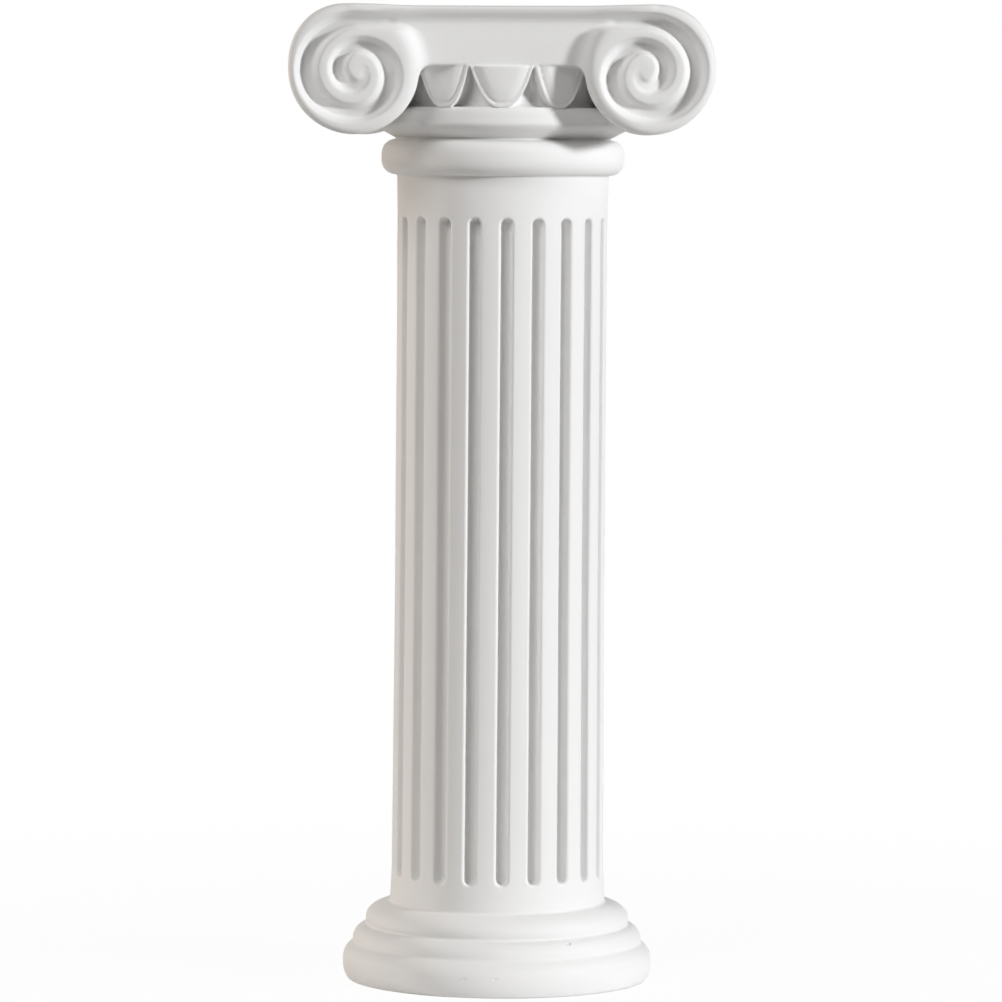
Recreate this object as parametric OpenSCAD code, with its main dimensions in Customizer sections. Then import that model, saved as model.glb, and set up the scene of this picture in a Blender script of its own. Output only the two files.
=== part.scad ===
// Table-top Ionic column, cast in one piece.
// Origin: centre of the underside. +Z up, the carved faces look along -Y and +Y.

/* [Column] */
// Height from the underside to the crown of the volutes
column_h = 290; // [240:1:400]
// Diameter of the shaft just above the base
shaft_low_d = 63.6; // [63.2:0.1:65]
// Diameter of the shaft just under the neck ring
shaft_high_d = 62.8; // [62:0.1:63.2]

/* [Base] */
// Widest diameter of the bottom roll of the base
foot_d = 92.8; // [92:0.1:96]
// Widest diameter of the middle roll of the base
middle_d = 86.8; // [86:0.1:89]
// Widest diameter of the upper roll of the base
upper_d = 79; // [78:0.1:81]

/* [Flutes] */
// Number of flutes round the shaft
flute_n = 20; // [12:1:22]
// Width of a flute between its lips
flute_w = 4.6; // [3:0.1:5]
// Depth of a flute below the shaft surface
flute_deep = 2.8; // [1.5:0.1:3]
// Plain band of shaft between the base and the flutes
flute_low_band = 9; // [5:0.5:20]
// Plain band of shaft between the flutes and the neck ring
flute_high_band = 12.5; // [5:0.5:20]
// Angle from the middle of the front to the nearest flute
flute_turn = 3.1; // [-9:0.1:9]
// How far the flutes at the sides are drawn towards the front, as an angle
flute_draw = 1.8; // [0:0.1:2.5]

/* [Capital] */
// Width of the capital over both volutes
capital_w = 124.4; // [122:0.2:128]
// Depth of the capital from front face to back face
capital_depth = 84; // [82:0.5:88]
// Diameter of the neck ring
ring_d = 72.4; // [72:0.1:74]
// Widest diameter of the cushion above the neck ring
cushion_d = 76.2; // [76:0.1:78]
// How far the flat band between the volutes lies behind the volute faces
band_back = 4.5; // [3:0.1:6]
// Width of the spiral channel on a volute
channel_w = 5; // [3:0.1:5.4]
// Width of the middle egg at its top
egg_w = 18.8; // [15:0.1:19]
// Angle between neighbouring eggs
egg_step = 27; // [26:0.5:29]

/* [Hidden] */
$fn = 96;

// heights from the underside up
base_h = 22.5;
capital_h = 50.4;
neck_z = column_h - capital_h;
shaft_low_r = shaft_low_d / 2;
shaft_high_r = shaft_high_d / 2;

// base rolls: height of the tube centre and radius of the tube
foot_z = 4.6;
foot_tube = 6.2;
middle_z = 11.6;
middle_tube = 4.8;
upper_z = 17.9;
upper_tube = 4.8;

// neck ring and the waist above it
ring_z = neck_z + 5.4;
ring_tube = 5.3;
waist_r = 32.7;

// cushion and the row of eggs on it
cushion_z = neck_z + 16.1;
cushion_tube = 5.1;
cushion_top_z = neck_z + 20.2;
egg_top_z = neck_z + 32.1;
egg_h = egg_top_z - cushion_top_z + 1.2;
egg_face_r = 38.6;
egg_back_r = 33.6;
egg_foot_r = 36.8;
egg_sides = 20;
eggs_each_side = 1;

// volutes
roll_r = 19;
roll_x = capital_w / 2 - roll_r;
roll_z = column_h - roll_r;
roll_waist = 2;
roll_flange = 7;
roll_edge = 1.6;
eye_x = capital_w / 2 - 19.9;
eye_z = column_h - 21.1;
face_y = capital_depth / 2;
band_y = face_y - band_back;
channel_r = channel_w / 2;
// the spiral channel, as heights above the eye where it crosses the eye's own vertical line
channel_cross = [16.1, -12, 7.7, -3.4];

// abacus
abacus_top_z = column_h - 0.7;
abacus_rim_h = 2.8;
abacus_rim_back = 2;

// a bar of radius r and length l with both outer edges rounded, as a half profile
module rounded_bar(r, l, edge) {
    square([r - edge, l]);
    translate([0, edge])
        square([r, l - 2 * edge]);
    translate([r - edge, edge])
        circle(edge);
    translate([r - edge, l - edge])
        circle(edge);
}

// one roll of the base or neck: a ring of round section, filled to the axis
module roll_ring(d, z, tube) {
    rotate_extrude()
        intersection() {
            union() {
                translate([d / 2 - tube, z])
                    circle(tube);
                translate([0, z - tube])
                    square([d / 2 - tube, 2 * tube]);
            }
            square([d, column_h]);
        }
}

module base() {
    roll_ring(foot_d, foot_z, foot_tube);
    roll_ring(middle_d, middle_z, middle_tube);
    roll_ring(upper_d, upper_z, upper_tube);
}

module shaft_body() {
    translate([0, 0, foot_z])
        cylinder(r1 = shaft_low_r, r2 = shaft_high_r, h = neck_z + 4 - foot_z);
}

// one flute: a round-bottomed slot with round ends, leaning with the taper of the shaft
module flute() {
    low = base_h + flute_low_band + flute_w / 2;
    high = neck_z - flute_high_band - flute_w / 2;
    lean = atan((shaft_low_r - shaft_high_r) / (neck_z - base_h));
    sink = flute_deep - flute_w / 2;
    translate([0, sink - shaft_low_r, low])
        rotate([-lean, 0, 0]) {
            cylinder(d = flute_w, h = high - low);
            sphere(d = flute_w);
            translate([0, 0, high - low])
                sphere(d = flute_w);
            translate([-flute_w / 2, -flute_w, 0])
                cube([flute_w, flute_w, high - low]);
        }
}

module flutes() {
    for (i = [0 : flute_n - 1])
        let (a = i * 360 / flute_n)
            rotate(flute_turn + a - flute_draw * sin(a))
                flute();
}

module neck_ring() {
    roll_ring(ring_d, ring_z, ring_tube);
}

// the cushion under the eggs, with a waist between it and the neck ring
module cushion() {
    translate([0, 0, ring_z])
        cylinder(r = waist_r, h = cushion_z - ring_z);
    rotate_extrude() {
        translate([cushion_d / 2 - cushion_tube, cushion_z])
            circle(cushion_tube);
        translate([0, cushion_z - cushion_tube])
            square([cushion_d / 2 - cushion_tube, cushion_top_z - cushion_z + cushion_tube]);
    }
    translate([0, 0, cushion_z])
        cylinder(r = egg_back_r, h = egg_top_z - cushion_z + 2);
}

// outline of an egg: a parabola hanging from its straight top edge
function egg_outline(w, h) = [
    for (i = [0 : egg_sides])
        let (t = 1 - 2 * i / egg_sides)
            [w / 2 * t, h * (t * t - 1)]
];

module egg(w) {
    intersection() {
        translate([0, 0, egg_top_z])
            rotate([90, 0, 0])
                linear_extrude(height = face_y)
                    polygon(egg_outline(w, egg_h));
        translate([0, 0, egg_top_z - egg_h])
            cylinder(r1 = egg_foot_r, r2 = egg_face_r, h = egg_h);
    }
}

// the eggs of one face
module eggs() {
    for (i = [-eggs_each_side : eggs_each_side])
        rotate(i * egg_step)
            egg(i == 0 ? egg_w : egg_w * 0.88);
}

// the flat band between the volutes, with the thin rim of the abacus above it
module abacus() {
    translate([-roll_x, -band_y, egg_top_z])
        cube([2 * roll_x, 2 * band_y, abacus_top_z - egg_top_z]);
    rim_y = face_y - abacus_rim_back;
    translate([-roll_x, -rim_y, abacus_top_z - abacus_rim_h])
        cube([2 * roll_x, 2 * rim_y, abacus_rim_h]);
}

// the long roll behind a pair of volutes, with a shallow waist at its middle
module roll() {
    waist_half = face_y - roll_flange;
    waist_arc = (pow(waist_half, 2) + pow(roll_waist, 2)) / (2 * roll_waist);
    translate([roll_x, face_y, roll_z])
        rotate([90, 0, 0])
            rotate_extrude()
                difference() {
                    rounded_bar(roll_r, capital_depth, roll_edge);
                    translate([roll_r - roll_waist + waist_arc, face_y])
                        circle(waist_arc, $fn = 720);
                }
}

// spiral channel on one volute: half circles that shrink towards the eye
module channel() {
    turns = len(channel_cross) - 1;
    for (i = [0 : turns - 1]) {
        mid = (channel_cross[i] + channel_cross[i + 1]) / 2;
        bend = abs(channel_cross[i] - channel_cross[i + 1]) / 2;
        translate([eye_x, -face_y, eye_z + mid])
            rotate([90, 0, 0])
                rotate(i % 2 == 0 ? -90 : 90)
                    rotate_extrude(angle = 180)
                        translate([bend, 0])
                            circle(channel_r, $fn = 48);
    }
    translate([eye_x - roll_r, -face_y, eye_z + channel_cross[0]])
        rotate([0, 90, 0])
            cylinder(r = channel_r, h = roll_r, $fn = 48);
}

module volutes() {
    for (side = [0, 1])
        mirror([side, 0, 0])
            difference() {
                roll();
                for (face = [0, 1])
                    mirror([0, face, 0])
                        channel();
            }
}

module column() {
    color("whitesmoke") {
        difference() {
            union() {
                base();
                shaft_body();
            }
            flutes();
        }
        neck_ring();
        cushion();
        for (face = [0, 180])
            rotate(face)
                eggs();
        abacus();
        volutes();
    }
}

column();
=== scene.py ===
# %% [markdown]
# # A small cast Ionic column
#
# This lesson models and finishes a table-top column that was cast in one piece in white plaster.
# Nothing on it is sharp: the mould was soft, so every edge is rounded and the skin wanders a
# little. The construction model fixes the sizes; here we make the visible casting inside it.
# The first step loads that model as a fixed frame. Sizes are in millimetres, unless a comment
# says metres.

# %% Load the construction model
import math
import bpy
import numpy as np
from mathutils import Matrix, Vector, noise


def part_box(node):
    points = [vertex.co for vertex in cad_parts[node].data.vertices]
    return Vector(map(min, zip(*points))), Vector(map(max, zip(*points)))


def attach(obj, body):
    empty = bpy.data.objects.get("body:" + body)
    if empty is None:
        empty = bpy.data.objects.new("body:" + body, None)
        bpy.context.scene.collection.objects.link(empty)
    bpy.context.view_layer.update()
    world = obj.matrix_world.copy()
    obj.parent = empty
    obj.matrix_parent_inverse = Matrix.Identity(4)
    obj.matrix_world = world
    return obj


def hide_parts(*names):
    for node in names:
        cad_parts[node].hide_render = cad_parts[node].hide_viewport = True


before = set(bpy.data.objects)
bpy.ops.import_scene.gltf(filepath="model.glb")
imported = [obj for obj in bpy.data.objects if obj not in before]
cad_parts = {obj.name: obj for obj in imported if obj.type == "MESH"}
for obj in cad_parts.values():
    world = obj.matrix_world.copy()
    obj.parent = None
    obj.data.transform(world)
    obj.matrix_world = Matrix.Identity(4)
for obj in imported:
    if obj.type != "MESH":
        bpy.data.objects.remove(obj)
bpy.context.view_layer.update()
MM = 0.001
low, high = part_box("column")
HEIGHT = high[2] / MM
HALF_WIDTH = high[0] / MM
FOOT_R = high[1] / MM
print(f"column {HEIGHT:.1f} high, {2 * HALF_WIDTH:.1f} over the volutes, foot {2 * FOOT_R:.1f}")

# %% [markdown]
# ## Two ways of making one casting
#
# The lower part, from the foot up to the cushion under the eggs, is turned work: a master would be
# run on a lathe. We make it the same way, as one profile swept round, with the flutes pressed in.
# The head is carved work, where shapes melt into each other. Its surface is easier to describe as
# a field: a number at every point in space, negative inside the plaster. Two shapes are joined by
# taking the lower of their numbers, and a soft join blends the numbers where they are close.

# %% Soft joins
def soft_min(a, b, k):
    """Joins two shapes; k is the width of the fillet between them."""
    h = np.clip(0.5 + 0.5 * (b - a) / k, 0.0, 1.0)
    return b + (a - b) * h - k * h * (1.0 - h)


def soft_max(a, b, k):
    """Keeps what two shapes share; k is the width of the rounding where they cross."""
    return -soft_min(-a, -b, k)


def ramp(t):
    """Runs smoothly from 0 to 1 as t runs from 0 to 1."""
    t = np.clip(t, 0.0, 1.0)
    return t * t * (3.0 - 2.0 * t)


print("a soft join of 1 and 1 over 2 mm lowers the value to", soft_min(1.0, 1.0, 2.0))

# %% [markdown]
# ## The turned profile
#
# The base is three stacked rolls, each a little smaller than the one below, with a soft crease
# between them. Then comes the straight shaft, a neck ring, a narrow waist and the cushion.
# Each roll is a round tube bent into a ring, so its outline is about half a circle. Joining the
# half circles softly gives the worn creases that a real mould leaves. The outline could be drawn
# as a curve and spun, but a formula keeps each size in one place.

# %% Turned profile
SHAFT_Z = [24.0, 34.0, 120.0, 227.0, 239.5]
SHAFT_R = [32.1, 31.75, 31.35, 31.3, 31.5]
# a roll: outer radius, height of its middle, thickness, half height, squareness (2 is round)
BASE_ROLLS = [
    (FOOT_R - 0.15, 5.7, 5.7, 5.7, 2.0),
    (43.2, 11.6, 4.4, 4.5, 2.0),
    (39.4, 17.9, 7.5, 5.0, 2.0),
]
TOP_ROLL_UNDERSIDE = 4.2
RING = (36.2, HEIGHT - 44.95, 4.6, 5.35, 2.6)
PAST_ROLL = 30.0
FOOT_CONTACT_R = FOOT_R - 1.6
CREASE = 0.5
ROLL_TO_SHAFT = 0.6
NECK_CREASE = 0.4
WAIST_R, WAIST_Z = 32.3, HEIGHT - 39.2
CUSHION_R, CUSHION_TOP_Z = 38.1, HEIGHT - 30.2
CUSHION_LEAN = 0.16
CUSHION_FLARE = 1.85
CUSHION_TURN = 2.4
CUSHION_EDGE, CUSHION_EDGE_DROP = 2.0, 0.6
DRUM_R = 33.6
DRUM_TOP_Z = HEIGHT - 14.0
BASE_END_Z = 26.5
NECK_START_Z = HEIGHT - 53.5


def roll_outline(z, roll):
    """Outer radius of a roll at height z; it drops away inside the plaster past the roll's ends."""
    outer, mid, thick, half_height, square = roll
    up = np.abs(z - mid) / half_height
    bulge = np.sqrt(np.clip(1.0 - up ** square, 0.0, None))
    return outer - thick + thick * bulge - PAST_ROLL * np.clip(up - 1.0, 0.0, None)


def base_outline(z):
    """Three rolls, the lowest tucked in to the ring that it stands on."""
    foot, middle, top = BASE_ROLLS
    outline = roll_outline(z, foot)
    tuck = np.clip((foot[1] - z) / foot[1], 0.0, 1.0) ** 3
    outline = np.where(z < foot[1], foot[0] + (FOOT_CONTACT_R - foot[0]) * tuck, outline)
    outline = soft_max(outline, roll_outline(z, middle), CREASE)
    under = (top[0], top[1], TOP_ROLL_UNDERSIDE, TOP_ROLL_UNDERSIDE, 2.0)
    upper = np.where(z < top[1], roll_outline(z, under), roll_outline(z, top))
    outline = soft_max(outline, upper, CREASE)
    return soft_max(outline, np.interp(z, SHAFT_Z, SHAFT_R), ROLL_TO_SHAFT)


def neck_outline(z):
    """The ring, and a cushion that flares out of the waist, leans in and ends in a soft edge."""
    start = np.where(z < RING[1], np.interp(z, SHAFT_Z, SHAFT_R), WAIST_R - 0.3)
    outline = soft_max(start, roll_outline(z, RING), NECK_CREASE)
    fall = np.clip((z - CUSHION_TOP_Z + CUSHION_EDGE) / CUSHION_EDGE, 0.0, 1.0)
    lean = CUSHION_LEAN * np.clip(z - WAIST_Z - 4.0, 0.0, None)
    upright = CUSHION_R - lean - CUSHION_EDGE_DROP * fall ** 2
    cushion = soft_min(WAIST_R + CUSHION_FLARE * (z - WAIST_Z), upright, CUSHION_TURN)
    return soft_max(outline, np.where(z > WAIST_Z, cushion, 0.0), NECK_CREASE)


def even_steps(r, z, step):
    """Resamples an outline so that its points are about one step apart along it."""
    along = np.concatenate([[0.0], np.cumsum(np.hypot(np.diff(r), np.diff(z)))])
    marks = np.linspace(0.0, along[-1], int(round(along[-1] / step)) + 1)
    return np.interp(marks, along, r), np.interp(marks, along, z)


z_fine = np.linspace(0.0, BASE_END_Z, 2651)
base_r, base_z = even_steps(base_outline(z_fine), z_fine, 0.55)
z_fine = np.linspace(NECK_START_Z, CUSHION_TOP_Z, 2601)
neck_r, neck_z = even_steps(neck_outline(z_fine), z_fine, 0.5)
print(len(base_r), "points on the base,", len(neck_r), "on the neck")

# %% [markdown]
# ## The flutes
#
# Twenty narrow flutes with round ends are pressed into the shaft. They could be cut with twenty
# booleans, but then their lips would stay sharp. Here the depth at any point depends only on its
# distance from the middle line of the nearest flute, so the round ends come for free.
# Across a flute the surface rolls over a lip, drops down a steep wall and runs out on the floor:
# two quarter circles, one bending each way, with a short steep drop between them. The grid has
# most of its columns on the lips and walls. The flutes at the sides are drawn a little towards
# the front, because the master of this casting was not divided quite evenly.

# %% Flutes
FLUTES = 20
FLUTE_TURN = math.radians(3.1)
UNEVEN = math.radians(1.8)
FLUTE_WALL = 1.7
FLUTE_LIP = 0.95
FLUTE_FLOOR = 1.2
FLUTE_DEPTH = 3.3
FLUTE_DROP = FLUTE_DEPTH - FLUTE_FLOOR - FLUTE_LIP
FLUTE_LOW_Z = 31.4 + FLUTE_WALL
FLUTE_HIGH_Z = HEIGHT - 62.9 - FLUTE_WALL


def flute_depth(d):
    """Depth of the flute at distance d from its middle line."""
    over = np.clip((FLUTE_WALL + FLUTE_LIP - d) / FLUTE_LIP, 0.0, 1.0)
    lip = FLUTE_LIP * (1.0 - np.sqrt(1.0 - over * over))
    under = np.clip((d - FLUTE_WALL + FLUTE_FLOOR) / FLUTE_FLOOR, 0.0, 1.0)
    floor = FLUTE_DEPTH - FLUTE_FLOOR * (1.0 - np.sqrt(1.0 - under * under))
    wall = FLUTE_DROP * np.clip((FLUTE_WALL + 0.06 - d) / 0.12, 0.0, 1.0)
    return np.where(d >= FLUTE_WALL, lip + wall, floor - FLUTE_DROP + wall)


steep = [1.64, 1.76]
lip_marks = [1.82, 1.92, 2.06, 2.26, 2.48]
half_columns = [0.0, 0.5, 0.85, 1.12, 1.34, 1.52, *steep, *lip_marks, 2.66]
PITCH = 2.0 * math.pi / FLUTES
MID_R = 31.4
across = np.array([-d for d in half_columns[:0:-1]] + half_columns) / MID_R
fine_columns = np.concatenate([
    np.concatenate([across, [PITCH / 2]]) + FLUTE_TURN + i * PITCH for i in range(FLUTES)
])
COARSE_PER_FLUTE = 9
coarse_columns = fine_columns[0] + np.arange(FLUTES * COARSE_PER_FLUTE) * PITCH / COARSE_PER_FLUTE
print(len(fine_columns), "columns round the shaft,", len(coarse_columns), "round the mouldings")


def end_rows(z_end, way):
    """Rows close together over a flute's round end; way is +1 for the upper end."""
    steps = [-1.0, -0.4, 0.0, 0.4, 0.8, 1.1, 1.34, 1.52, *steep, *lip_marks, 2.7, 3.2]
    return np.sort(z_end + way * np.array(steps))


SHAFT_START_Z = 28.2
SHAFT_END_Z = HEIGHT - 57.0
PAST_END = 6.0
shaft_z = np.concatenate([
    [SHAFT_START_Z],
    end_rows(FLUTE_LOW_Z, -1),
    np.linspace(FLUTE_LOW_Z + PAST_END, FLUTE_HIGH_Z - PAST_END, 11),
    end_rows(FLUTE_HIGH_Z, +1),
    [SHAFT_END_Z],
])
shaft_r = np.interp(shaft_z, SHAFT_Z, SHAFT_R)
print(len(shaft_z), "rows up the shaft")

# %% [markdown]
# ## Sweep the profile round
#
# The fluted shaft needs many columns and the plain mouldings few, so they are three grids. Where
# two grids meet, a row of triangles walks round both rings and always steps on the ring that is
# behind, like closing a zip. A fan of triangles closes the underside and the top of the drum.

# %% Sweep
def grid_points(r, z, angles, fluted):
    """Points of a profile swept through the given angles, one ring after another."""
    angle, radius = np.meshgrid(angles, r)
    height = np.meshgrid(angles, z)[1]
    if fluted:
        side = np.abs((angle - FLUTE_TURN + PITCH / 2) % PITCH - PITCH / 2) * MID_R
        past_end = np.clip(np.maximum(FLUTE_LOW_Z - height, height - FLUTE_HIGH_Z), 0.0, None)
        radius = radius - flute_depth(np.hypot(side, past_end))
    angle = angle - UNEVEN * np.sin(angle - FLUTE_TURN)
    return np.stack([radius * np.sin(angle), -radius * np.cos(angle), height], axis=-1).reshape(-1, 3)


def grid_faces(rows, cols, start):
    """Quads between neighbouring rings, going round without a seam."""
    i, j = np.meshgrid(np.arange(rows - 1), np.arange(cols), indexing="ij")
    k = (j + 1) % cols
    quads = np.stack([i * cols + j, i * cols + k, (i + 1) * cols + k, (i + 1) * cols + j], axis=-1)
    return (quads.reshape(-1, 4) + start).tolist()


def zip_faces(low_angles, low_start, high_angles, high_start):
    """Triangles between two rings that have different numbers of points."""
    faces = []
    i, j, m, n = 0, 0, len(low_angles), len(high_angles)
    turn = 2.0 * math.pi
    low_next = np.append(low_angles[1:], low_angles[0] + turn)
    high_next = np.append(high_angles[1:], high_angles[0] + turn)
    while i < m or j < n:
        a, b = low_start + i % m, high_start + j % n
        if j >= n or (i < m and low_next[i] <= high_next[j]):
            faces.append((a, low_start + (i + 1) % m, b))
            i += 1
        else:
            faces.append((a, high_start + (j + 1) % n, b))
            j += 1
    return faces


UNDERSIDE_RINGS = [20.0, 38.0]
DRUM_TOP_RING = 15.0


def turned_mesh():
    """The underside and base, the fluted shaft, and the neck with the drum, as one closed skin."""
    foot_r = np.append(UNDERSIDE_RINGS, base_r)
    foot_z = np.append([0.0, 0.0], base_z)
    head_r = np.append(neck_r, [DRUM_R, DRUM_R, DRUM_TOP_RING])
    head_z = np.append(neck_z, [CUSHION_TOP_Z, DRUM_TOP_Z, DRUM_TOP_Z])
    grids = [
        (foot_r, foot_z, coarse_columns, False),
        (shaft_r, shaft_z, fine_columns, True),
        (head_r, head_z, coarse_columns, False),
    ]
    points, faces, start, below = [], [], 0, None
    for r, z, angles, fluted in grids:
        points.append(grid_points(r, z, angles, fluted))
        faces += grid_faces(len(r), len(angles), start)
        if below:
            faces += zip_faces(*below, angles, start)
        start += len(r) * len(angles)
        below = (angles, start - len(angles))
    cols = len(coarse_columns)
    last = start - cols
    points.append([[0, 0, 0], [0, 0, DRUM_TOP_Z]])
    faces += [((j + 1) % cols, j, start) for j in range(cols)]
    faces += [(last + j, last + (j + 1) % cols, start + 1) for j in range(cols)]
    return np.vstack(points), faces


def new_object(name, points, faces):
    """An object from points in millimetres."""
    mesh = bpy.data.meshes.new(name)
    mesh.from_pydata((points * MM).tolist(), [], faces)
    mesh.validate()
    obj = bpy.data.objects.new(name, mesh)
    bpy.context.scene.collection.objects.link(obj)
    return obj


turned = new_object("turned_work", *turned_mesh())
print("turned work:", len(turned.data.polygons), "faces")

# %% [markdown]
# ## A grid for the head
#
# A field has to be sampled on a grid before it can become a mesh. The head is the same on both
# faces and at both ends, so every formula below works on the distances x and y from the middle
# planes. The grid lines are close together where the carving is, just behind each face, and wide
# apart along the plain rolls between them.

# %% Grid for the head
FACE_Y = 42.0
FINE = 0.45


def lines(*stretches):
    """Grid lines along one axis from (start, end, step) stretches."""
    marks = [np.arange(a, b - step / 2, step) for a, b, step in stretches]
    return np.concatenate(marks + [[stretches[-1][1]]])


GRID_END_Y = FACE_Y + 1.0
PLAIN_Y = GRID_END_Y - 30 * FINE
xs = lines((-63.0, 63.0, FINE))
ys = lines((-GRID_END_Y, -PLAIN_Y, FINE), (-PLAIN_Y, PLAIN_Y, PLAIN_Y / 15), (PLAIN_Y, GRID_END_Y, FINE))
zs = lines((HEIGHT - 39.6, HEIGHT + 0.9, FINE))
x = np.abs(xs)[:, None, None]
y = np.abs(ys)[None, :, None]
z = zs[None, None, :]
print("grid", len(xs), len(ys), len(zs))

# %% [markdown]
# ## The spiral channels
#
# Each scroll carries a spiral channel with round lips, so the plaster between two turns is a soft
# ridge. A tube bent along a spiral could be cut out, but the channel was shaped by hand and changes
# its width and depth as it goes. So we give the distance from the eye, the half width and the
# depth at every quarter turn, starting over the top and going round by the outside, and run a
# smooth curve through them.

# %% Spiral channels
POLE_X = HALF_WIDTH - 20.2
POLE_Z = HEIGHT - 20.6
CHANNEL_R = [15.6, 14.45, 11.5, 9.8, 7.9, 5.1, 3.7, 2.6, 1.6]
CHANNEL_HALF = [2.5, 3.75, 3.1, 3.8, 2.8, 3.4, 2.4, 1.5, 1.0]
CHANNEL_DEPTH = [4.3, 3.6, 3.0, 3.5, 3.2, 2.9, 1.0, 0.2, 0.0]
CHANNEL_FLOOR = 0.3
CHANNEL_LEAN = 1.3


def through(marks, t):
    """A smooth curve through marks that stand at t = 0, 1, 2 and so on."""
    marks = np.array(marks)
    slope = np.gradient(marks)
    i = np.clip(np.floor(t).astype(int), 0, len(marks) - 2)
    f = t - i
    ease = f * f * (3.0 - 2.0 * f)
    lift = f * (1.0 - f) * ((1.0 - f) * slope[i] - f * slope[i + 1])
    return marks[i] + (marks[i + 1] - marks[i]) * ease + lift


def trough(off_line, half, depth):
    """Depth of a round-lipped channel at a distance from its middle line."""
    floor = CHANNEL_FLOOR * half
    return depth * (1.0 - ramp((off_line - floor) / (half - floor)))


def channel_depth():
    """The channel comes in straight along the top, then winds in towards the eye."""
    u, v = x - POLE_X, z - POLE_Z
    turn = np.arctan2(u, v) / (math.pi / 2) % 4.0
    r = np.hypot(u, v)
    gentle = np.where(v < CHANNEL_R[0], CHANNEL_LEAN, 1.0)
    straight = trough(np.abs(v - CHANNEL_R[0]), CHANNEL_HALF[0] * gentle, CHANNEL_DEPTH[0])
    deep = np.where(u < 0, straight, 0.0)
    for start in (0.0, 4.0):
        t = turn + start
        off_line = r - through(CHANNEL_R, t)
        lean = 1.0 + (CHANNEL_LEAN - 1.0) * ramp(1.0 - t)
        half = through(CHANNEL_HALF, t) * np.where(off_line < 0, lean, 1.0)
        deep = np.maximum(deep, trough(np.abs(off_line), half, through(CHANNEL_DEPTH, t)))
    return deep


print("the channel winds in from", CHANNEL_R[0], "to", CHANNEL_R[-1], "mm from the eye")

# %% [markdown]
# ## The rolls
#
# A scroll at each side runs from face to face like a rolled mat, with a shallow waist halfway. A
# cylinder with a bevel would do for the roll alone. As a field it is as easy, because the distance
# from its axis, less its radius, is already the number we want, and it can be blended with the
# rest. The flat ends are where the spirals are carved, and the edge is rounded over.

# %% Rolls
ROLL_R = 19.05
ROLL_X = HALF_WIDTH - 0.1 - ROLL_R
ROLL_Z = HEIGHT - 0.25 - ROLL_R
SHOULDER = 2.27
WAIST = 1.9
WAIST_REACH = 36.0
ROLL_END_Y = FACE_Y - 0.15
OUTER_EDGE, INNER_EDGE = 2.6, 4.2


def roll_side():
    """Distance from the long side of a roll, with the waist taken in."""
    u, v = np.abs(x - ROLL_X) / ROLL_R, np.abs(z - ROLL_Z) / ROLL_R
    power = np.where((x > ROLL_X) & (z > ROLL_Z), SHOULDER, 2.0)
    around = ROLL_R * (u ** power + v ** power + 1e-9) ** (1.0 / power)
    return around - ROLL_R + WAIST * ramp(1.0 - y / WAIST_REACH)


def rolls():
    """The rolls with their carved ends; the edge is rounder towards the middle of the column."""
    edge = OUTER_EDGE + (INNER_EDGE - OUTER_EDGE) * ramp((ROLL_X - x) / 12.0)
    return soft_max(roll_side(), y - ROLL_END_Y + channel_depth(), edge)


print(f"rolls {2 * ROLL_R:.1f} across, centred {ROLL_X:.1f} out and {ROLL_Z:.1f} up")

# %% [markdown]
# ## The band and the rim
#
# Between the scrolls a flat band lies back from the faces, and sinks away under each scroll. The
# rim along its top swings forward as it nears a scroll, and becomes the outer ridge of the spiral.
# The rim could be a swept bar, but as a field it melts into the scroll without a seam.

# %% Band and rim
BAND_Y = FACE_Y - 4.5
BAND_SINK, BAND_SINK_FROM, BAND_SINK_OVER = 6.0, 30.0, 11.0
BAND_EDGE = 0.6
TOP_Z = HEIGHT - 0.75
TOP_RISE_FROM, TOP_RISE_OVER = 24.0, 16.0
EGG_TOP_Z = HEIGHT - 18.3
RIM_OUT = 3.0
RIM_FOOT_Z = HEIGHT - 5.0
RIM_EDGE = 1.3
SWING_FROM, SWING_OVER = 22.0, 20.0
RIM_END_SINK, RIM_END_OVER = 4.0, 7.0
UNDER_SLOPE, UNDER_SLOPE_MORE = 1.3, 0.5
UNDER_SCALE = 0.61  # turns the height over the sloping underside into a distance from it


def band():
    """A slab with its lower edge at the tops of the eggs."""
    sunk = BAND_SINK * ramp((x - BAND_SINK_FROM) / BAND_SINK_OVER)
    slab = soft_max(y - BAND_Y + sunk, np.maximum(z - TOP_Z, EGG_TOP_Z - z), BAND_EDGE)
    return np.maximum(slab, x - ROLL_X)


def above_crown():
    """Height above the top line, which rises a little from the middle to the scrolls."""
    rise = ROLL_Z + ROLL_R - TOP_Z
    return z - TOP_Z - rise * ramp((x - TOP_RISE_FROM) / TOP_RISE_OVER)


def rim():
    """The rim has a sloping underside; past the top of a scroll it sinks into the scroll's ridge."""
    swing = ramp((x - SWING_FROM) / SWING_OVER)
    front = BAND_Y + RIM_OUT + (ROLL_END_Y - BAND_Y - RIM_OUT) * swing
    front = front - RIM_END_SINK * ramp((x - ROLL_X) / RIM_END_OVER)
    slope = UNDER_SLOPE + UNDER_SLOPE_MORE * swing
    under = UNDER_SCALE * (y - BAND_Y - slope * (z - RIM_FOOT_Z))
    bar = soft_max(y - front, np.maximum(above_crown(), under), RIM_EDGE)
    bar = np.maximum(bar, RIM_FOOT_Z - z)
    return np.maximum(bar, np.where(x > ROLL_X, roll_side(), -1.0))


print(f"band {FACE_Y - BAND_Y:.1f} behind the faces, rim {RIM_OUT:.1f} in front of the band")

# %% [markdown]
# ## The eggs
#
# A row of three eggs hangs under the band. An egg is a tongue, nearly a parabola in outline, with a
# fine raised edge. The distance from the outline sets how far the surface stands out: a narrow
# crease just inside the edge, and a gentle crown in the middle.

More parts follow.
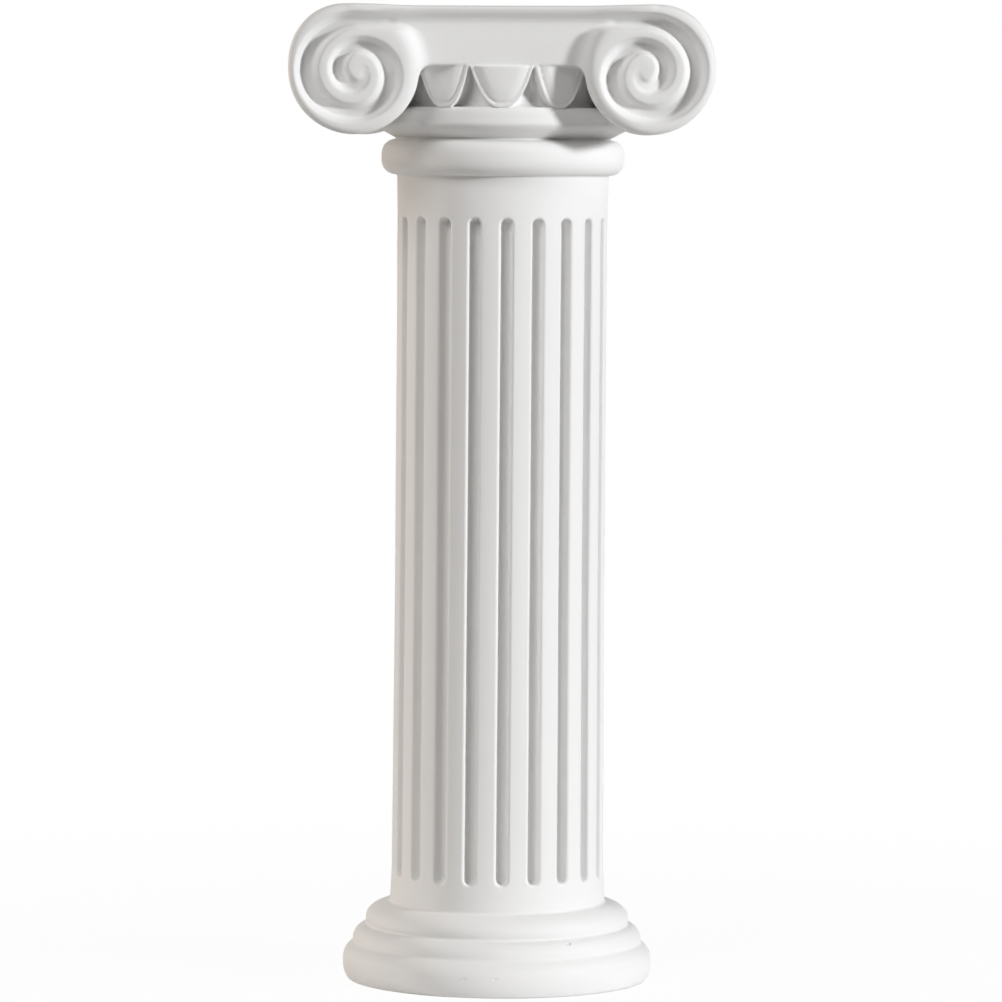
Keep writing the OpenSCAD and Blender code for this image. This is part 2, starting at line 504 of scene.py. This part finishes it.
# %% Eggs
EGG_H = 12.3
EGG_STEP = math.radians(27.0)
EGG_HALF_WIDTHS = [9.4, 8.4]
EGG_POWER = 2.6
EGG_LINE_R = 38.0
EGG_TOP_R, EGG_LEAN = 38.9, 1.5
EGG_CROWN, CROWN_FROM, CROWN_OVER = 0.5, 1.6, 4.0
EGG_CREASE, CREASE_IN, CREASE_WIDE = 0.45, 1.5, 0.42
EGG_EDGE, EGG_TOP_EDGE = 0.5, 0.4


def egg(turn, half_width):
    """One egg at an angle from the middle of the face."""
    angle = np.arctan2(x, y)
    side = EGG_LINE_R * (angle - turn)
    down = (EGG_TOP_Z - z) / EGG_H
    share = np.abs(side) / half_width
    slope = np.hypot(EGG_POWER * share ** (EGG_POWER - 1.0) / half_width, 1.0 / EGG_H)
    edge = (share ** EGG_POWER + down - 1.0) / slope
    crown = EGG_CROWN * ramp((-edge - CROWN_FROM) / CROWN_OVER)
    crease = EGG_CREASE * np.exp(-((edge + CREASE_IN) / CREASE_WIDE) ** 2)
    stand = EGG_TOP_R - EGG_LEAN * down - crease + crown
    shape = soft_max(edge, np.hypot(x, y) - stand, EGG_EDGE)
    return soft_max(shape, z - EGG_TOP_Z, EGG_TOP_EDGE)


print("eggs", [2 * w for w in EGG_HALF_WIDTHS], "wide and", EGG_H, "high")

# %% [markdown]
# ## Put the head together
#
# The rim is joined to the scrolls, then the band behind them with a wide fillet that narrows
# towards the top, and last the eggs. Everything is cut off along the top line.

# %% Head field
RIM_JOIN = 0.6
FILLET, FILLET_LESS = 4.0, 2.8
FILLET_Z, FILLET_OVER = HEIGHT - 9.0, 4.0
CROWN_EDGE = 0.8
EGG_JOIN = 0.4


def head_field():
    """The whole head as one field."""
    carved = soft_min(rolls(), rim(), RIM_JOIN)
    fillet = FILLET - FILLET_LESS * ramp((z - FILLET_Z) / FILLET_OVER)
    field = soft_max(soft_min(carved, band(), fillet), above_crown(), CROWN_EDGE)
    for i, half_width in enumerate(EGG_HALF_WIDTHS):
        field = soft_min(field, egg(i * EGG_STEP, half_width), EGG_JOIN)
    return field.astype(np.float32)


field = head_field()
print("field", field.shape, "lowest value", round(float(field.min()), 1))

# %% [markdown]
# ## From field to mesh
#
# A mesh is wrapped round the plaster with surface nets: every grid cell that the surface passes
# through gets one vertex, at the average of the points where the surface cuts the cell's edges.
# Wherever a grid edge is cut, the four cells round it are joined by a quad, turned so that its
# front looks out of the plaster. This gives evener quads than a voxel remesh. The head of the
# real casting sits a fifth of a degree out of level, so we tip ours by as much.

# %% Surface nets
CORNERS = [(i, j, k) for i in (0, 1) for j in (0, 1) for k in (0, 1)]


def live_cells(field):
    """The grid cells that the surface passes through."""
    inside = field < 0
    count = np.zeros(tuple(n - 1 for n in field.shape), dtype=np.uint8)
    for corner in CORNERS:
        count += inside[tuple(slice(o, n - 1 + o) for o, n in zip(corner, field.shape))]
    return np.argwhere((count > 0) & (count < 8))


def net_points(field, axes, live):
    """The average of the points where the surface cuts the edges of each live cell."""
    total, count = np.zeros((len(live), 3)), np.zeros(len(live))
    for axis in range(3):
        for corner in CORNERS:
            if corner[axis]:
                continue
            a = live + np.array(corner)
            b = a.copy()
            b[:, axis] += 1
            fa, fb = field[tuple(a.T)], field[tuple(b.T)]
            cut = (fa < 0) != (fb < 0)
            t = np.where(cut, fa / np.where(cut, fa - fb, 1.0), 0.0)
            for k in range(3):
                pa, pb = axes[k][a[:, k]], axes[k][b[:, k]]
                total[:, k] += np.where(cut, pa + t * (pb - pa), 0.0)
            count += cut
    return total / count[:, None]


def net_quads(field, live):
    """A quad round every grid edge that the surface cuts, with its front towards the outside."""
    inside = field < 0
    number = np.full(tuple(n - 1 for n in field.shape), -1, dtype=np.int64)
    number[tuple(live.T)] = np.arange(len(live))
    quads = []
    for axis in range(3):
        p, q = (axis + 1) % 3, (axis + 2) % 3
        first = [slice(None)] * 3
        second = [slice(None)] * 3
        first[axis], second[axis] = slice(0, -1), slice(1, None)
        change = inside[tuple(first)].astype(np.int8) - inside[tuple(second)].astype(np.int8)
        edges = np.argwhere(change != 0)
        sign = change[tuple(edges.T)]
        ring = []
        for dp, dq in ((0, 0), (1, 0), (1, 1), (0, 1)):
            cell = edges.copy()
            cell[:, p] -= dp
            cell[:, q] -= dq
            ring.append(number[tuple(cell.T)])
        ring = np.stack(ring, axis=-1)
        quads.append(np.where(sign[:, None] > 0, ring, ring[:, ::-1]))
    return np.vstack(quads)


HEAD_SKEW = math.radians(0.2)
SKEW_Z = HEIGHT - 35.0
live = live_cells(field)
head_points = net_points(field, (xs, ys, zs), live)
head_quads = net_quads(field, live)
skew = np.array(Matrix.Rotation(-HEAD_SKEW, 3, "Y"))
neck = np.array([0.0, 0.0, SKEW_Z])
head_points = (head_points - neck) @ skew.T + neck
head = new_object("head", head_points, head_quads.tolist())
print("head:", len(head_points), "points,", len(head_quads), "quads")

# %% [markdown]
# ## Join the two into one casting
#
# A boolean union welds the head onto the turned work, so the result is one skin with nothing
# hidden inside. Both meshes have to face outwards for that. The head is first thinned out where it
# is smooth.

# %% Join
HEAD_KEPT = 0.34


def apply_modifier(obj, kind, **settings):
    """Adds a modifier, applies it at once and returns the number of faces."""
    mod = obj.modifiers.new(kind.lower(), kind)
    for key, value in settings.items():
        setattr(mod, key, value)
    bpy.context.view_layer.objects.active = obj
    bpy.ops.object.modifier_apply(modifier=mod.name)
    return len(obj.data.polygons)


print("head thinned to", apply_modifier(head, "DECIMATE", ratio=HEAD_KEPT), "faces")
apply_modifier(turned, "BOOLEAN", operation="UNION", solver="MANIFOLD", object=head)
print("joined:", sum(len(f.vertices) - 2 for f in turned.data.polygons), "triangles")
bpy.data.objects.remove(head)
casting = turned
casting.name = casting.data.name = "cast_column"
casting.data.shade_smooth()

# %% [markdown]
# ## The hand of the mould
#
# A plaster skin is never perfectly true. We sink every point by up to a sixth of a millimetre,
# following a slow noise, and leave the underside flat so that the column stands well. A few small
# air bubbles that burst on the base are cut out with little balls.

# %% Air bubbles and waviness
WAVE_DEEP = 0.16
WAVE_LONG = 14.0
WAVE_START_Z = 3.0
# a bubble: place across and up on the front of the base, radius of its ball, depth
BUBBLES = [(21.6, 15.2, 0.55, 0.3), (-9.2, 5.7, 0.6, 0.14), (0.2, 5.8, 0.6, 0.12)]

for bubble_x, bubble_z, ball_r, deep in BUBBLES:
    reach = float(base_outline(np.array([bubble_z]))[0]) + ball_r - deep
    centre = Vector((bubble_x, -math.sqrt(reach ** 2 - bubble_x ** 2), bubble_z)) * MM
    bpy.ops.mesh.primitive_ico_sphere_add(subdivisions=2, radius=ball_r * MM, location=centre)
    ball = bpy.context.object
    apply_modifier(casting, "BOOLEAN", operation="DIFFERENCE", solver="MANIFOLD", object=ball)
    bpy.data.objects.remove(ball)

skin = casting.data
where = np.empty(len(skin.vertices) * 3)
skin.vertices.foreach_get("co", where)
facing = np.empty(len(skin.vertices) * 3)
skin.vertex_normals.foreach_get("vector", facing)
where, facing = where.reshape(-1, 3), facing.reshape(-1, 3)
wave = np.array([noise.noise(Vector(p) / (WAVE_LONG * MM)) for p in where])
sink = WAVE_DEEP * MM * np.clip(0.5 + 0.7 * wave, 0.0, 1.0)
sink *= ramp(where[:, 2] / (WAVE_START_Z * MM))
skin.vertices.foreach_set("co", (where - facing * sink[:, None]).ravel())
skin.update()
print("sunk by up to", round(float(sink.max()) / MM, 2), "mm")

# %% [markdown]
# ## Matt white plaster
#
# Cast plaster is nearly white and has no shine. Its colour drifts a little from place to place,
# and the skin is finely grained, so a broad noise tints it and a fine noise roughens it.

# %% Plaster
def plaster():
    """Matt, nearly white, with a broad drift of tint and a fine grain."""
    mat = bpy.data.materials.new("cast_plaster")
    mat.use_nodes = True
    nodes, links = mat.node_tree.nodes, mat.node_tree.links
    shader = nodes["Principled BSDF"]
    shader.inputs["Specular IOR Level"].default_value = 0.3
    place = nodes.new("ShaderNodeTexCoord")
    drift = nodes.new("ShaderNodeTexNoise")
    drift.inputs["Scale"].default_value = 18.0
    drift.inputs["Detail"].default_value = 3.0
    tint = nodes.new("ShaderNodeValToRGB")
    tint.color_ramp.elements[0].color = (0.80, 0.797, 0.79, 1)
    tint.color_ramp.elements[1].color = (0.83, 0.828, 0.822, 1)
    grain = nodes.new("ShaderNodeTexNoise")
    grain.inputs["Scale"].default_value = 900.0
    grain.inputs["Detail"].default_value = 4.0
    bump = nodes.new("ShaderNodeBump")
    bump.inputs["Strength"].default_value = 0.08
    bump.inputs["Distance"].default_value = 0.0004
    rough = nodes.new("ShaderNodeMapRange")
    rough.inputs["To Min"].default_value = 0.6
    rough.inputs["To Max"].default_value = 0.75
    links.new(place.outputs["Object"], drift.inputs["Vector"])
    links.new(place.outputs["Object"], grain.inputs["Vector"])
    links.new(drift.outputs["Fac"], tint.inputs["Fac"])
    links.new(tint.outputs["Color"], shader.inputs["Base Color"])
    links.new(drift.outputs["Fac"], rough.inputs["Value"])
    links.new(rough.outputs["Result"], shader.inputs["Roughness"])
    links.new(grain.outputs["Fac"], bump.inputs["Height"])
    links.new(bump.outputs["Normal"], shader.inputs["Normal"])
    return mat


casting.data.materials.clear()
casting.data.materials.append(plaster())
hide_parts("column")
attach(casting, "root")
print("finish:", casting.data.materials[0].name)

# %% [markdown]
# ## Floor and backdrop
#
# The column stands on a plain pale floor in a dim, slightly warm room. The camera sees floor and
# backdrop as white, but the light that they throw back on the column is that of ordinary pale
# paper and of the dim room. A brighter backdrop would be simpler, but it would wash out the shade.

# %% Floor and backdrop
def camera_sees(nodes, links):
    """A value of 1 for rays that picture the background and 0 for rays that light things."""
    path = nodes.new("ShaderNodeLightPath")
    sharp = nodes.new("ShaderNodeMath")
    sharp.operation = "MAXIMUM"
    seen = nodes.new("ShaderNodeMath")
    seen.operation = "MAXIMUM"
    links.new(path.outputs["Is Glossy Ray"], sharp.inputs[0])
    links.new(path.outputs["Is Transmission Ray"], sharp.inputs[1])
    links.new(path.outputs["Is Camera Ray"], seen.inputs[0])
    links.new(sharp.outputs["Value"], seen.inputs[1])
    return seen.outputs["Value"]


def paper():
    """Diffuse pale paper, shown to the camera as nearly all white so that its shadow stays faint."""
    mat = bpy.data.materials.new("white_paper")
    mat.use_nodes = True
    nodes, links = mat.node_tree.nodes, mat.node_tree.links
    card = nodes["Principled BSDF"]
    card.inputs["Base Color"].default_value = (0.85, 0.85, 0.85, 1)
    card.inputs["Roughness"].default_value = 0.9
    white = nodes.new("ShaderNodeEmission")
    white.inputs["Strength"].default_value = 1.0
    place = nodes.new("ShaderNodeTexCoord")
    away = nodes.new("ShaderNodeVectorMath")
    away.operation = "LENGTH"
    fade = nodes.new("ShaderNodeMapRange")
    fade.interpolation_type = "SMOOTHSTEP"
    fade.inputs["From Min"].default_value = 0.06
    fade.inputs["From Max"].default_value = 0.5
    fade.inputs["To Min"].default_value = 0.96
    fade.inputs["To Max"].default_value = 1.0
    share = nodes.new("ShaderNodeMath")
    share.operation = "MULTIPLY"
    links.new(place.outputs["Object"], away.inputs[0])
    links.new(away.outputs["Value"], fade.inputs["Value"])
    links.new(fade.outputs["Result"], share.inputs[1])
    mix = nodes.new("ShaderNodeMixShader")
    links.new(camera_sees(nodes, links), share.inputs[0])
    links.new(share.outputs["Value"], mix.inputs["Fac"])
    links.new(card.outputs["BSDF"], mix.inputs[1])
    links.new(white.outputs["Emission"], mix.inputs[2])
    links.new(mix.outputs["Shader"], nodes["Material Output"].inputs["Surface"])
    return mat


FLOOR_HALF = 0.5  # metres
floor_mesh = bpy.data.meshes.new("floor")
corners = [(-1, -1), (1, -1), (1, 1), (-1, 1)]
floor_mesh.from_pydata([(a * FLOOR_HALF, b * FLOOR_HALF, 0) for a, b in corners], [], [(0, 1, 2, 3)])
floor = bpy.data.objects.new("floor", floor_mesh)
bpy.context.scene.collection.objects.link(floor)
floor.data.materials.append(paper())

SURROUND = (0.035, 0.03, 0.022, 1)
world = bpy.data.worlds.new("studio")
bpy.context.scene.world = world
world.use_nodes = True
nodes, links = world.node_tree.nodes, world.node_tree.links
choose = nodes.new("ShaderNodeMix")
choose.data_type = "RGBA"
choose.inputs["A"].default_value = SURROUND
choose.inputs["B"].default_value = (1, 1, 1, 1)
links.new(camera_sees(nodes, links), choose.inputs["Factor"])
links.new(choose.outputs["Result"], nodes["Background"].inputs["Color"])
nodes["Background"].inputs["Strength"].default_value = 1.0
print("floor", 2 * FLOOR_HALF, "m wide")

# %% [markdown]
# ## Light
#
# Three round lamps light the column. The main one is small and stands low on the right: a small
# lamp gives a shadow with a clear edge, which the right scroll throws across the cushion. A big one
# at the upper left fills the shade. A big warm one at the left, a little behind, lifts the dark
# side of the shaft.

# %% Lights
LAMP_AWAY = 1.6  # metres
AIM_SHARE = 0.6


def lamp(name, turn, rise, size, power, color):
    """A round lamp, turn degrees right of the front and rise degrees up; metres and watts."""
    data = bpy.data.lights.new(name, "AREA")
    data.shape = "DISK"
    data.size = size
    data.energy = power
    data.color = color
    obj = bpy.data.objects.new(name, data)
    aim = Vector((0, 0, HEIGHT * MM * AIM_SHARE))
    a, e = math.radians(turn), math.radians(rise)
    away = Vector((math.sin(a) * math.cos(e), -math.cos(a) * math.cos(e), math.sin(e)))
    obj.location = aim + away * LAMP_AWAY
    obj.rotation_euler = away.to_track_quat("Z", "Y").to_euler()
    bpy.context.scene.collection.objects.link(obj)
    return obj


lamp("key", 63, 13, 0.2, 22, (0.97, 0.98, 1))
lamp("left_softbox", -38, 42, 0.9, 10.9, (1, 0.995, 0.985))
lamp("warm_rim", -104, 10, 0.9, 9.2, (1, 0.86, 0.74))
print("lamps:", [light.name for light in bpy.data.lights])

# %% [markdown]
# ## Camera
#
# The camera is a long lens about 1.7 metres away, level with the foot of the head and tipped down
# slightly. So the base is seen a little from above, and the underside of the scrolls just shows.

# %% Camera
SENSOR = 36.0
LENS = 202.06
CAMERA_AWAY = 1674.0
CAMERA_UP = 250.4
CAMERA_SIDE = 0.2
TURN, TIP, ROLL = math.radians(0.8), math.radians(3.68), math.radians(0.458)

cam_data = bpy.data.cameras.new("camera")
cam_data.sensor_width = SENSOR
cam_data.lens = LENS
camera = bpy.data.objects.new("camera", cam_data)
bpy.context.scene.collection.objects.link(camera)
bpy.context.scene.camera = camera
stand = Vector((CAMERA_SIDE, -CAMERA_AWAY, CAMERA_UP)) * MM
pose = Matrix.Rotation(TURN, 4, "Z") @ Matrix.Translation(stand)
pose = pose @ Matrix.Rotation(math.pi / 2 - TIP, 4, "X") @ Matrix.Rotation(ROLL, 4, "Z")
camera.matrix_world = pose
bpy.context.scene.view_settings.view_transform = "Standard"
print(f"lens {cam_data.lens:.0f} mm, {CAMERA_AWAY * MM:.2f} m away")
